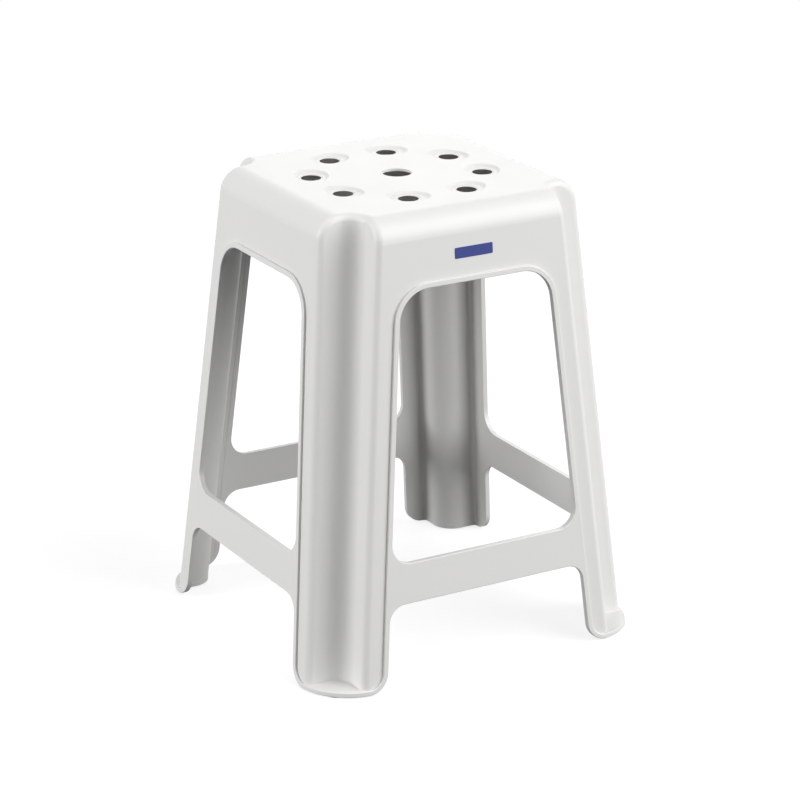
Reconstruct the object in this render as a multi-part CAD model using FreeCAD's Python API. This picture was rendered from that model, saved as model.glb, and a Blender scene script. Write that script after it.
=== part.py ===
"""Stacking stool: one injection-moulded body, four anti-slip pads and a blank label.

Millimetres, +Z up. The origin is on the floor under the middle of the seat.
The front (the side with the label) faces -Y, and the four sides are alike.
"""
import FreeCAD, Part
import math
import os
from FreeCAD import Vector

# Overall size
stool_height = 450.0        # floor to the flat top of the seat
base_width = 362.2          # across the outer faces of two opposite side frames, at the soles' undersides
top_width = 283.5           # across the same faces, carried up to the height of the seat's top

# Moulding
wall = 2.5                  # skin of the seat and the legs
frame_step = 2.4            # how far the side frames stand proud of the skin
frame_inner_step = 0.3      # how far they stand proud of it inside
frame_edge_radius = 0.8     # softened edges of the frames, outside
bury = 1.0                  # how far the skin's cut edges lie inside the frames

# Seat
seat_edge_radius = 24.0     # rounding of the four long seat edges

# Legs: two lobes with a concave flute between them, down each corner
leg_width = 67.1            # opening's edge to the outer corner, measured along a side
flute_reach = 41.5          # outer face of a side frame to the flute's wall
flute_corner_radius = 18.5
lobe_radius = 6.5           # rounding of a flute's whole rim, down both lobes and over the seat's corner

# Side frames: a band round both openings, with a stretcher between them
band_width = 5.3
apron_height = 67.8         # top of the seat to the upper opening
stretcher_top = 122.6       # heights above the floor
stretcher_bottom = 83.4
upper_opening_top_radius = 32.0
upper_opening_bottom_radius = 20.0
lower_opening_top_radius = 17.5
foot_radius = 20.5          # the feet's rounded inner corners

# Soles
pad_proud = 1.2             # floor to the soles' undersides
sole_thickness = 4.6
sole_corner_radius = 54.6

# Anti-slip pads, let into the soles
pad_diameter = 22.0
pad_edge_radius = 0.6
pad_clearance = 0.15        # all round
pocket_depth = 2.0
pocket_rim = 1.5            # sole left outside the pocket, on the corner's diagonal

# Drain and grip holes in the seat
hole_diameter = 19.6
hole_circle_diameter = 166.0
hole_count = 8
centre_hole_diameter = 29.0
dish_length = 43.0          # the dish round each hole, along the hole circle
dish_width = 34.0
dish_depth = 2.4
dish_floor_length = 21.4
dish_floor_width = 21.0
dish_profile = (            # share of the way out from the floor to the brim, share of the depth
    (1.10, 0.0),
    (1.0, 0.06),
    (0.9, 0.25),
    (0.35, 0.85),
    (0.0, 1.0),
)

# Ribs under the seat
rib_thickness = 1.8
rib_depth = 9.0             # below the seat's underside
rib_ring_clearance = 25.5   # centre hole's edge to the ring round it, out of sight from above
rib_count = 8

# Stacking stops: gussets in the corners that rest on the stool below
stack_pitch = 62.0          # seat to seat in a stack
stop_thickness = 2.4
stop_seating = 12.0         # how much of a stop's foot lies on the flat of the seat below

# Blank label on the front apron
label_width = 41.0
label_height = 10.4
label_thickness = 0.25
label_corner_radius = 1.2
label_drop = 40.4           # top of the seat to the label's middle

# Worked out from the sizes above
sole_underside = pad_proud
sole_top = sole_underside + sole_thickness
upper_opening_top = stool_height - apron_height
label_middle_height = stool_height - label_drop
lean = (base_width - top_width) / 2 / (stool_height - sole_underside)
lean_angle = math.atan(lean)
frame_depth = frame_step + wall + frame_inner_step
beyond = base_width         # longer than anything a cutting tool has to reach
touching = 0.01             # nearer than this counts as lying on a surface
run_out = 3.0               # straight run past a rounded corner, inside another solid


def half_width(z):
    """Half the distance between two opposite side frames' outer faces, at a height."""
    return top_width / 2 + lean * (stool_height - z)


def opening_half_width(z):
    return half_width(z) - leg_width


def skin_reach(z):
    """Middle of the stool to the outside of a flat side, level with the legs."""
    return half_width(z) - frame_step / math.cos(lean_angle)


def flute_wall_reach(z):
    """Middle of the stool to the outside of a flute's wall."""
    return half_width(z) - flute_reach


def arc(start, middle, end):
    return Part.Arc(start, middle, end).toShape()


def rounded_wire(corners):
    """Closed outline in the XZ plane from (x, z, corner radius), as lines and tangent arcs."""
    points = [Vector(x, 0, z) for x, z, radius in corners]
    starts = []
    ends = []
    middles = []
    for i, (x, z, radius) in enumerate(corners):
        here = points[i]
        back = (points[i - 1] - here).normalize()
        ahead = (points[(i + 1) % len(points)] - here).normalize()
        half_angle = back.getAngle(ahead) / 2
        tangent = radius / math.tan(half_angle)
        towards_centre = (back + ahead).normalize()
        starts.append(here + back * tangent)
        ends.append(here + ahead * tangent)
        middles.append(here + towards_centre * (radius / math.sin(half_angle) - radius))
    edges = []
    for i, (x, z, radius) in enumerate(corners):
        if radius > 0:
            edges.append(arc(starts[i], middles[i], ends[i]))
        edges.append(Part.makeLine(ends[i], starts[(i + 1) % len(points)]))
    return Part.Wire(edges)


def mirrored(right_half):
    """A symmetric outline from its right half, listed from the bottom up."""
    left_half = [(-x, z, radius) for x, z, radius in reversed(right_half)]
    return right_half + left_half


def upper_window(grow):
    low_half = opening_half_width(stretcher_top) + grow
    high_half = opening_half_width(upper_opening_top) + grow
    return rounded_wire(mirrored([
        (low_half, stretcher_top - grow, upper_opening_bottom_radius + grow),
        (high_half, upper_opening_top + grow, upper_opening_top_radius + grow),
    ]))


def lower_window(grow):
    foot_end = opening_half_width(sole_underside) + foot_radius + run_out
    low_half = opening_half_width(sole_underside) + grow
    high_half = opening_half_width(stretcher_bottom) + grow
    return rounded_wire(mirrored([
        (foot_end, sole_underside - foot_radius, 0),
        (foot_end, sole_underside + grow, 0),
        (low_half, sole_underside + grow, foot_radius - grow),
        (high_half, stretcher_bottom + grow, lower_opening_top_radius + grow),
    ]))


def band_outline():
    """Outside of the band: up one leg, over the upper opening and down the other leg."""
    inner_radius = foot_radius - band_width
    foot_end = opening_half_width(sole_top) + band_width + inner_radius + run_out
    top = upper_opening_top + band_width
    return rounded_wire(mirrored([
        (foot_end, sole_underside, 0),
        (foot_end, sole_top, 0),
        (opening_half_width(sole_top) + band_width, sole_top, inner_radius),
        (opening_half_width(top) + band_width, top, upper_opening_top_radius + band_width),
    ]))


def through_front(wire):
    """The outline's prism, from the middle of the stool out through the front."""
    return Part.Face(wire).extrude(Vector(0, -beyond, 0))


def front_slab(outer_offset, thickness):
    """A leaning plate parallel to the front; its outer face lies this far inside the frame's outer face."""
    low = sole_underside - foot_radius
    high = stool_height
    outer = outer_offset / math.cos(lean_angle)
    inner = (outer_offset + thickness) / math.cos(lean_angle)
    corners = [
        Vector(-beyond, -half_width(low) + outer, low),
        Vector(-beyond, -half_width(high) + outer, high),
        Vector(-beyond, -half_width(high) + inner, high),
        Vector(-beyond, -half_width(low) + inner, low),
    ]
    outline = Part.makePolygon(corners + [corners[0]])
    return Part.Face(outline).extrude(Vector(2 * beyond, 0, 0))


def four_sides(shape):
    """The shape and its three copies, turned to the other sides."""
    copies = []
    for quarter in range(4):
        copy = shape.copy()
        copy.rotate(Vector(0, 0, 0), Vector(0, 0, 1), 90 * quarter)
        copies.append(copy)
    return copies


def edge_points(edge):
    first, last = edge.ParameterRange
    return [edge.valueAt(first + (last - first) * share) for share in (0.0, 0.3, 0.5, 0.8, 1.0)]


def lies_on(points, surface):
    return all(Part.Vertex(point).distToShape(surface)[0] < touching for point in points)


def face_middle(face):
    u_low, u_high, v_low, v_high = face.ParameterRange
    return face.valueAt((u_low + u_high) / 2, (v_low + v_high) / 2)


def is_level(face):
    return face.BoundBox.ZLength < touching


def rounded_block(inset, bottom):
    """Four leaning sides under a flat top with long rounded edges, set in all round by the inset."""
    top = stool_height - inset
    low_reach = skin_reach(bottom) - inset / math.cos(lean_angle)
    top_reach = skin_reach(top) - inset / math.cos(lean_angle)
    half_profile = [(low_reach, bottom, 0), (top_reach, top, seat_edge_radius - inset)]
    across = Part.Face(rounded_wire(mirrored(half_profile))).extrude(Vector(0, 2 * beyond, 0))
    across.translate(Vector(0, -beyond, 0))
    along = across.copy()
    along.rotate(Vector(0, 0, 0), Vector(0, 0, 1), 90)
    return across.common(along).removeSplitter()


def flute_tool(inset, bottom):
    """What a flute takes out of one corner: two walls parallel to the sides, a round hollow between."""
    wall_reach = flute_wall_reach(bottom) - inset / math.cos(lean_angle)
    hollow = flute_corner_radius + inset
    hollow_in = hollow * (1 - math.sqrt(0.5))
    corner = [
        Vector(beyond, wall_reach, bottom),
        Vector(wall_reach + hollow, wall_reach, bottom),
        Vector(wall_reach + hollow_in, wall_reach + hollow_in, bottom),
        Vector(wall_reach, wall_reach + hollow, bottom),
        Vector(wall_reach, beyond, bottom),
        Vector(beyond, beyond, bottom),
    ]
    edges = [
        Part.makeLine(corner[0], corner[1]),
        arc(corner[1], corner[2], corner[3]),
        Part.makeLine(corner[3], corner[4]),
        Part.makeLine(corner[4], corner[5]),
        Part.makeLine(corner[5], corner[0]),
    ]
    height = stool_height + run_out - bottom
    return Part.Face(Part.Wire(edges)).extrude(Vector(-lean * height, -lean * height, height))


def solid_body(inset, bottom):
    """The stool's outer form with no openings, set in all round by the inset."""
    block = rounded_block(inset, bottom)
    flutes = four_sides(flute_tool(inset, bottom))
    body = block.cut(flutes).removeSplitter()
    rims = []
    for edge in body.Edges:
        points = edge_points(edge)
        at_bottom = all(abs(point.z - bottom) < touching for point in points)
        on_flute = any(lies_on(points, flute.Shells[0]) for flute in flutes)
        if on_flute and not at_bottom and lies_on(points, block.Shells[0]):
            rims.append(edge)
    return body.makeFillet(lobe_radius - inset, rims)


def envelope():
    """Rounded leaning block that the side frames and the soles have their outer faces on."""
    outlines = []
    for z in (sole_underside, stool_height):
        reach = half_width(z)
        outline = rounded_wire([
            (-reach, -reach, sole_corner_radius),
            (reach, -reach, sole_corner_radius),
            (reach, reach, sole_corner_radius),
            (-reach, reach, sole_corner_radius),
        ])
        outline.rotate(Vector(0, 0, 0), Vector(1, 0, 0), 90)
        outline.translate(Vector(0, 0, z))
        outlines.append(outline)
    return Part.makeLoft(outlines, True, True)


def side_frames():
    """The four side frames with the soles, as one ring-like solid with softened outer edges."""
    plates = four_sides(front_slab(0, frame_depth).common(through_front(band_outline())))
    sheet_corner = Vector(-beyond, -beyond, sole_underside)
    sole_sheet = Part.makeBox(2 * beyond, 2 * beyond, sole_thickness, sheet_corner)
    limit = envelope()
    inside = solid_body(wall + frame_inner_step, sole_underside - bury)
    windows = four_sides(through_front(upper_window(0))) + four_sides(through_front(lower_window(0)))
    frames = sole_sheet.multiFuse(plates).common(limit).cut([inside] + windows).removeSplitter()
    outside = Part.Compound([face for face in limit.Faces if not is_level(face)])
    outer_edges = []
    for edge in frames.Edges:
        sides = [face_middle(face) for face in frames.ancestorsOfType(edge, Part.Face)]
        if lies_on(edge_points(edge), outside) and not lies_on(sides, outside):
            outer_edges.append(edge)
    return frames.makeFillet(frame_edge_radius, outer_edges)


def skin():
    """The thin shell of the seat, aprons and legs, open below and at the side openings."""
    outer = solid_body(0, sole_underside + bury)
    inner = solid_body(wall, sole_underside - bury)
    windows = four_sides(through_front(upper_window(bury))) + four_sides(through_front(lower_window(bury)))
    return outer.cut([inner] + windows)


def on_hole_circle(shape, index):
    """The shape, made round the Z axis, moved to one of the seat's holes."""
    copy = shape.copy()
    copy.translate(Vector(hole_circle_diameter / 2, 0, 0))
    copy.rotate(Vector(0, 0, 0), Vector(0, 0, 1), 360 / hole_count * (index + 0.5))
    return copy


def ellipse_wire(radial, tangential, z):
    """Closed ellipse round the Z axis, longer along Y."""
    ellipse = Part.Ellipse(Vector(0, tangential / 2, z), Vector(radial / 2, 0, z), Vector(0, 0, z))
    return Part.Wire(ellipse.toShape())


def dish(drop):
    """The form of one dish, lowered by the drop."""
    top = stool_height - drop
    wires = []
    for share, depth in dish_profile:
        radial = dish_floor_width + (dish_width - dish_floor_width) * share
        tangential = dish_floor_length + (dish_length - dish_floor_length) * share
        wires.append(ellipse_wire(radial, tangential, top - dish_depth * depth))
    return Part.makeLoft(wires, True, False)


def under_seat_ribs():
    """A ring round the centre hole and ribs from it to the walls, between the seat's holes."""
    low = stool_height - wall - rib_depth
    height = rib_depth + wall / 2
    ring_inside = centre_hole_diameter / 2 + rib_ring_clearance
    ring = Part.makeCylinder(ring_inside + rib_thickness, height, Vector(0, 0, low))
    ring = ring.cut(Part.makeCylinder(ring_inside, height, Vector(0, 0, low)))
    ribs = [ring]
    for index in range(rib_count):
        inner_end = Vector(ring_inside + rib_thickness / 2, -rib_thickness / 2, low)
        rib = Part.makeBox(beyond, rib_thickness, height, inner_end)
        rib.rotate(Vector(0, 0, 0), Vector(0, 0, 1), 360 / rib_count * index)
        ribs.append(rib)
    return ribs


def stacking_stops():
    """Diagonal gussets from the seat's underside down to the height where the stool below ends."""
    low = stool_height - stack_pitch
    hollow_centre = math.sqrt(2) * (flute_wall_reach(stool_height) + flute_corner_radius)
    flat_end = hollow_centre - flute_corner_radius - lobe_radius
    inner_end = flat_end - stop_seating
    stops = []
    for index in range(4):
        height = stack_pitch - wall / 2
        stop = Part.makeBox(beyond, stop_thickness, height, Vector(inner_end, -stop_thickness / 2, low))
        stop.rotate(Vector(0, 0, 0), Vector(0, 0, 1), 45 + 90 * index)
        stops.append(stop)
    return stops


def pad_position(index):
    """Middle of a pocket, on the corner's diagonal, the pocket's rim away from the sole's outside."""
    reach = half_width(sole_underside)
    corner = math.sqrt(2) * (reach - sole_corner_radius) + sole_corner_radius
    distance = corner - pocket_rim - pad_diameter / 2 - pad_clearance
    angle = math.radians(45 + 90 * index)
    return Vector(distance * math.cos(angle), distance * math.sin(angle), 0)


def stool_body():
    """The whole moulding."""
    stiffeners = under_seat_ribs() + stacking_stops()
    half_wall_in = solid_body(wall / 2, sole_underside)
    stiffeners = [piece.common(half_wall_in) for piece in stiffeners]
    dishes = [on_hole_circle(dish(wall), index) for index in range(hole_count)]
    body = skin().multiFuse([side_frames()] + dishes + stiffeners)
    cuts = [on_hole_circle(dish(0), index) for index in range(hole_count)]
    bore_start = Vector(0, 0, stool_height - wall - rib_depth)
    bore_length = 2 * (wall + rib_depth)
    bore = Part.makeCylinder(hole_diameter / 2, bore_length, bore_start)
    cuts += [on_hole_circle(bore, index) for index in range(hole_count)]
    cuts.append(Part.makeCylinder(centre_hole_diameter / 2, bore_length, bore_start))
    pocket = Part.makeCylinder(pad_diameter / 2 + pad_clearance, pocket_depth)
    for index in range(4):
        copy = pocket.copy()
        copy.translate(pad_position(index) + Vector(0, 0, sole_underside))
        cuts.append(copy)
    return body.cut(cuts).removeSplitter()


def foot_pad(index):
    """One anti-slip pad, standing on the floor with its top against the pocket's ceiling."""
    pad = Part.makeCylinder(pad_diameter / 2, pad_proud + pocket_depth)
    low_edges = [edge for edge in pad.Edges if abs(edge.CenterOfMass.z) < 0.01 and edge.Closed]
    pad = pad.makeFillet(pad_edge_radius, low_edges)
    pad.translate(pad_position(index))
    return pad


def blank_label():
    """Plain rounded rectangle, flat on the front apron."""
    half = label_width / 2
    low = label_middle_height - label_height / 2
    high = label_middle_height + label_height / 2
    outline = rounded_wire(mirrored([(half, low, label_corner_radius), (half, high, label_corner_radius)]))
    return front_slab(frame_step - label_thickness, label_thickness).common(through_front(outline))


def write(name, shape):
    if not shape.isValid() or len(shape.Solids) != 1:
        print("check", name, "valid", shape.isValid(), "solids", len(shape.Solids))
    solid = shape.Solids[0]
    solid.exportStep(os.path.join("parts", name + ".step"))
    size = solid.BoundBox
    print(name, "volume", round(solid.Volume), "z", round(size.ZMin, 2), round(size.ZMax, 2))


def main():
    os.makedirs("parts", exist_ok=True)
    write("stool_body", stool_body())
    corners = ("rear_right", "rear_left", "front_left", "front_right")
    for index, corner in enumerate(corners):
        write("foot_pad_" + corner, foot_pad(index))
    write("blank_label", blank_label())


main()
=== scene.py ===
"""Stacking stool: looks, floor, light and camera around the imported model. Metres, +Z up."""
import math

import bpy
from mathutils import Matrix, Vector


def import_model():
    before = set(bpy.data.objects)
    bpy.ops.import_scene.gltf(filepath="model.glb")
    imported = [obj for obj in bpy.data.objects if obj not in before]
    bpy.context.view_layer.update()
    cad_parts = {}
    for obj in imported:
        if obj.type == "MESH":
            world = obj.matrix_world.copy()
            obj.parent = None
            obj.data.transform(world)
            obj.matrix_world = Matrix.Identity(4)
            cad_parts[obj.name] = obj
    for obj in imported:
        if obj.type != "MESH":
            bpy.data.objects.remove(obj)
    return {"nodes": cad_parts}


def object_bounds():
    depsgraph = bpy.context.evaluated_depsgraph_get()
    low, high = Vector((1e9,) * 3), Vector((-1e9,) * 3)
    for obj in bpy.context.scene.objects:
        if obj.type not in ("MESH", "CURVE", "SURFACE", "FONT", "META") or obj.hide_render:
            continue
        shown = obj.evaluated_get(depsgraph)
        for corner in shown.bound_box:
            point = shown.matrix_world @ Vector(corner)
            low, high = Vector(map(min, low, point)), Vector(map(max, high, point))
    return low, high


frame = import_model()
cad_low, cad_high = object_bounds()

# Camera, from a fit of the stool's edges to the photograph
CAMERA_AZIMUTH = math.radians(29.92)    # round from the front towards the left side
CAMERA_HEIGHT_ANGLE = math.radians(20.26)
CAMERA_DISTANCE = 3.027
CAMERA_CENTRE_HEIGHT = 0.1915    # of the point that the distance and both angles are taken from
CAMERA_TURN = math.radians(29.98)    # the turn and the dip say where it points
CAMERA_DIP = math.radians(19.795)
CAMERA_LENS = 137.63
CAMERA_SENSOR = 36.0
CAMERA_REACH = 100.0

# Floor and light
FLOOR_SIZE = 24.0
FLOOR_SHADOW_SHARE = 0.32    # how much of the floor's own shading the camera sees
SHADOW_REACH = (0.9, 1.8)    # from the stool's middle: all of the shadow inside, none outside
WHITE_STRENGTH = 1.0    # of a glow or a sky that comes out plain white
FLOOR_GLOW_NEAR = 1.13    # with the floor's own shading this comes to plain white beside the stool
WORLD_STRENGTH = 0.25
LAMP_AIM = (0.0, 0.0, 0.25)
LAMP_DISTANCE = 6.0
LAMPS = (    # name, azimuth round from the front towards the right side, height angle, size, watts
    ("left_softbox", -100.5, 19.0, 4.8, 365.0),
    ("right_softbox", 38.0, 32.0, 6.6, 550.0),
    ("back_softbox", 150.0, 17.0, 3.0, 49.0),
)

# Colours, linear
PLASTIC_COLOUR = (0.632, 0.630, 0.621, 1.0)
PLASTIC_SHADE = (0.622, 0.620, 0.611, 1.0)
PAD_COLOUR = (0.60, 0.60, 0.58, 1.0)
PAD_SHADE = (0.50, 0.50, 0.48, 1.0)
LABEL_COLOUR = (0.013, 0.028, 0.19, 1.0)
LABEL_SHADE = (0.011, 0.024, 0.17, 1.0)
FLOOR_COLOUR = (0.06, 0.06, 0.06, 1.0)    # as the stool is lit by it
FLOOR_COLOUR_SEEN = (0.9, 0.9, 0.9, 1.0)
WHITE = (1.0, 1.0, 1.0, 1.0)

# Gloss
PLASTIC_ROUGHNESS = (0.43, 0.50)
PLASTIC_IOR = 1.49
PAD_ROUGHNESS = (0.7, 0.85)
LABEL_ROUGHNESS = (0.3, 0.4)
FLOOR_ROUGHNESS = 0.9

# Heights of the surfaces' grain
PLASTIC_GRAIN = 0.00006
PAD_GRAIN = 0.0001
LABEL_GRAIN = 0.00003


def new_material(name):
    """A node material, its tree, its Principled shader and object coordinates."""
    material = bpy.data.materials.new(name)
    material.use_nodes = True
    tree = material.node_tree
    shader = tree.nodes["Principled BSDF"]
    coordinates = tree.nodes.new("ShaderNodeTexCoord")
    return material, tree, shader, coordinates.outputs["Object"]


def noise(tree, place, scale, detail, roughness=0.5):
    """Noise between 0 and 1."""
    node = tree.nodes.new("ShaderNodeTexNoise")
    node.inputs["Scale"].default_value = scale
    node.inputs["Detail"].default_value = detail
    node.inputs["Roughness"].default_value = roughness
    tree.links.new(place, node.inputs["Vector"])
    return node.outputs["Fac"]


def colour_between(tree, factor, first, second):
    """The first colour where the factor is 0, the second where it is 1."""
    mix = tree.nodes.new("ShaderNodeMix")
    mix.data_type = "RGBA"
    mix.inputs["A"].default_value = first
    mix.inputs["B"].default_value = second
    tree.links.new(factor, mix.inputs["Factor"])
    return mix.outputs["Result"]


def value_between(tree, factor, first, second):
    """The first value where the factor is 0, the second where it is 1."""
    span = tree.nodes.new("ShaderNodeMapRange")
    span.inputs["To Min"].default_value = first
    span.inputs["To Max"].default_value = second
    tree.links.new(factor, span.inputs["Value"])
    return span.outputs["Result"]


def fade(tree, distance, start, end):
    """1 up to the start, falling smoothly to 0 at the end."""
    span = tree.nodes.new("ShaderNodeMapRange")
    span.interpolation_type = "SMOOTHSTEP"
    span.inputs["From Min"].default_value = start
    span.inputs["From Max"].default_value = end
    span.inputs["To Min"].default_value = 1.0
    span.inputs["To Max"].default_value = 0.0
    tree.links.new(distance, span.inputs["Value"])
    return span.outputs["Result"]


def combined(tree, operation, first, second):
    """Two values joined by one step of arithmetic."""
    node = tree.nodes.new("ShaderNodeMath")
    node.operation = operation
    tree.links.new(first, node.inputs[0])
    tree.links.new(second, node.inputs[1])
    return node.outputs["Value"]


def mixed(tree, share, first, second):
    """The first shader, with the given share of the second in it."""
    mix = tree.nodes.new("ShaderNodeMixShader")
    tree.links.new(share, mix.inputs["Fac"])
    tree.links.new(first, mix.inputs[1])
    tree.links.new(second, mix.inputs[2])
    return mix.outputs["Shader"]


def bump(tree, height, distance, strength):
    """The normal that a fine grain gives the surface."""
    node = tree.nodes.new("ShaderNodeBump")
    node.inputs["Distance"].default_value = distance
    node.inputs["Strength"].default_value = strength
    tree.links.new(height, node.inputs["Height"])
    return node.outputs["Normal"]


def plastic():
    """White polypropylene: even colour, fine moulded grain, soft sheen."""
    material, tree, shader, place = new_material("white_polypropylene")
    tint = noise(tree, place, scale=14.0, detail=3.0)
    grain = noise(tree, place, scale=1400.0, detail=2.0, roughness=0.6)
    flow = noise(tree, place, scale=30.0, detail=2.0)
    tree.links.new(colour_between(tree, tint, PLASTIC_COLOUR, PLASTIC_SHADE), shader.inputs["Base Color"])
    tree.links.new(value_between(tree, flow, *PLASTIC_ROUGHNESS), shader.inputs["Roughness"])
    tree.links.new(bump(tree, grain, PLASTIC_GRAIN, strength=0.5), shader.inputs["Normal"])
    shader.inputs["IOR"].default_value = PLASTIC_IOR
    return material


def rubber():
    """Pale soft rubber of the anti-slip pads."""
    material, tree, shader, place = new_material("pale_rubber")
    speck = noise(tree, place, scale=900.0, detail=3.0)
    tree.links.new(colour_between(tree, speck, PAD_COLOUR, PAD_SHADE), shader.inputs["Base Color"])
    tree.links.new(value_between(tree, speck, *PAD_ROUGHNESS), shader.inputs["Roughness"])
    tree.links.new(bump(tree, speck, PAD_GRAIN, strength=0.6), shader.inputs["Normal"])
    return material


def label_film():
    """Plain blue self-adhesive film."""
    material, tree, shader, place = new_material("blue_label_film")
    fibre = noise(tree, place, scale=700.0, detail=4.0)
    tree.links.new(colour_between(tree, fibre, LABEL_COLOUR, LABEL_SHADE), shader.inputs["Base Color"])
    tree.links.new(value_between(tree, fibre, *LABEL_ROUGHNESS), shader.inputs["Roughness"])
    tree.links.new(bump(tree, fibre, LABEL_GRAIN, strength=0.4), shader.inputs["Normal"])
    return material


def dress(nodes, material):
    """Give each of the CAD model's nodes the material."""
    for node in nodes:
        slots = frame["nodes"][node].material_slots
        if not slots:
            frame["nodes"][node].data.materials.append(material)
        for slot in slots:
            slot.material = material


def seen_directly(tree):
    """1 where the camera, a reflection or a view through glass meets the surface, else 0."""
    path = tree.nodes.new("ShaderNodeLightPath")
    seen = path.outputs["Is Camera Ray"]
    for kind in ("Is Glossy Ray", "Is Transmission Ray"):
        seen = combined(tree, "MAXIMUM", seen, path.outputs[kind])
    return seen


def floor():
    """Large pale floor: white where it is seen, with the stool's own shadow kept round its feet."""
    bpy.ops.mesh.primitive_plane_add(size=FLOOR_SIZE, location=(0, 0, cad_low[2]))
    plane = bpy.context.object
    plane.name = "studio_floor"
    material, tree, shader, place = new_material("studio_floor")
    directly = seen_directly(tree)
    tint = colour_between(tree, directly, FLOOR_COLOUR, FLOOR_COLOUR_SEEN)
    tree.links.new(tint, shader.inputs["Base Color"])
    shader.inputs["Roughness"].default_value = FLOOR_ROUGHNESS
    shader.inputs["Specular IOR Level"].default_value = 0.0
    distance = tree.nodes.new("ShaderNodeVectorMath")
    distance.operation = "LENGTH"
    tree.links.new(place, distance.inputs[0])
    nearness = fade(tree, distance.outputs["Value"], *SHADOW_REACH)
    glow = tree.nodes.new("ShaderNodeEmission")
    glow.inputs["Color"].default_value = WHITE
    strength = value_between(tree, nearness, WHITE_STRENGTH, FLOOR_GLOW_NEAR)
    tree.links.new(strength, glow.inputs["Strength"])
    glow_share = value_between(tree, nearness, 1.0, 1.0 - FLOOR_SHADOW_SHARE)
    seen_share = combined(tree, "MULTIPLY", directly, glow_share)
    surface = mixed(tree, seen_share, shader.outputs["BSDF"], glow.outputs["Emission"])
    tree.links.new(surface, tree.nodes["Material Output"].inputs["Surface"])
    plane.data.materials.append(material)


def world():
    """Even pale surroundings, plain white where the camera sees them."""
    sky = bpy.data.worlds.new("studio")
    bpy.context.scene.world = sky
    sky.use_nodes = True
    tree = sky.node_tree
    around = tree.nodes["Background"]
    white = tree.nodes.new("ShaderNodeBackground")
    for background, strength in ((around, WORLD_STRENGTH), (white, WHITE_STRENGTH)):
        background.inputs["Color"].default_value = WHITE
        background.inputs["Strength"].default_value = strength
    directly = seen_directly(tree)
    surroundings = mixed(tree, directly, around.outputs["Background"], white.outputs["Background"])
    tree.links.new(surroundings, tree.nodes["World Output"].inputs["Surface"])


def lights():
    """Large round softboxes on a sphere round the stool, each facing its middle."""
    middle = Vector(LAMP_AIM)
    for name, azimuth, height_angle, size, watts in LAMPS:
        around = math.radians(azimuth)
        up = math.radians(height_angle)
        away = Vector((math.sin(around) * math.cos(up), -math.cos(around) * math.cos(up), math.sin(up)))
        data = bpy.data.lights.new(name, "AREA")
        data.shape = "DISK"
        data.size = size
        data.energy = watts
        lamp = bpy.data.objects.new(name, data)
        bpy.context.scene.collection.objects.link(lamp)
        lamp.location = middle + away * LAMP_DISTANCE
        lamp.rotation_euler = away.to_track_quat("Z", "Y").to_euler()


def camera():
    """Camera at the photograph's viewing angle."""
    data = bpy.data.cameras.new("camera")
    data.lens = CAMERA_LENS
    data.sensor_width = CAMERA_SENSOR
    data.clip_end = CAMERA_REACH
    eye = bpy.data.objects.new("camera", data)
    bpy.context.scene.collection.objects.link(eye)
    level = CAMERA_DISTANCE * math.cos(CAMERA_HEIGHT_ANGLE)
    eye.location = (
        -level * math.sin(CAMERA_AZIMUTH),
        -level * math.cos(CAMERA_AZIMUTH),
        CAMERA_CENTRE_HEIGHT + CAMERA_DISTANCE * math.sin(CAMERA_HEIGHT_ANGLE),
    )
    eye.rotation_euler = (math.pi / 2 - CAMERA_DIP, 0.0, -CAMERA_TURN)
    bpy.context.scene.camera = eye


dress(["stool_body"], plastic())
dress(["blank_label"], label_film())
dress([node for node in frame["nodes"] if node.startswith("foot_pad")], rubber())

floor()
world()
lights()
camera()
bpy.context.scene.view_settings.view_transform = "Standard"
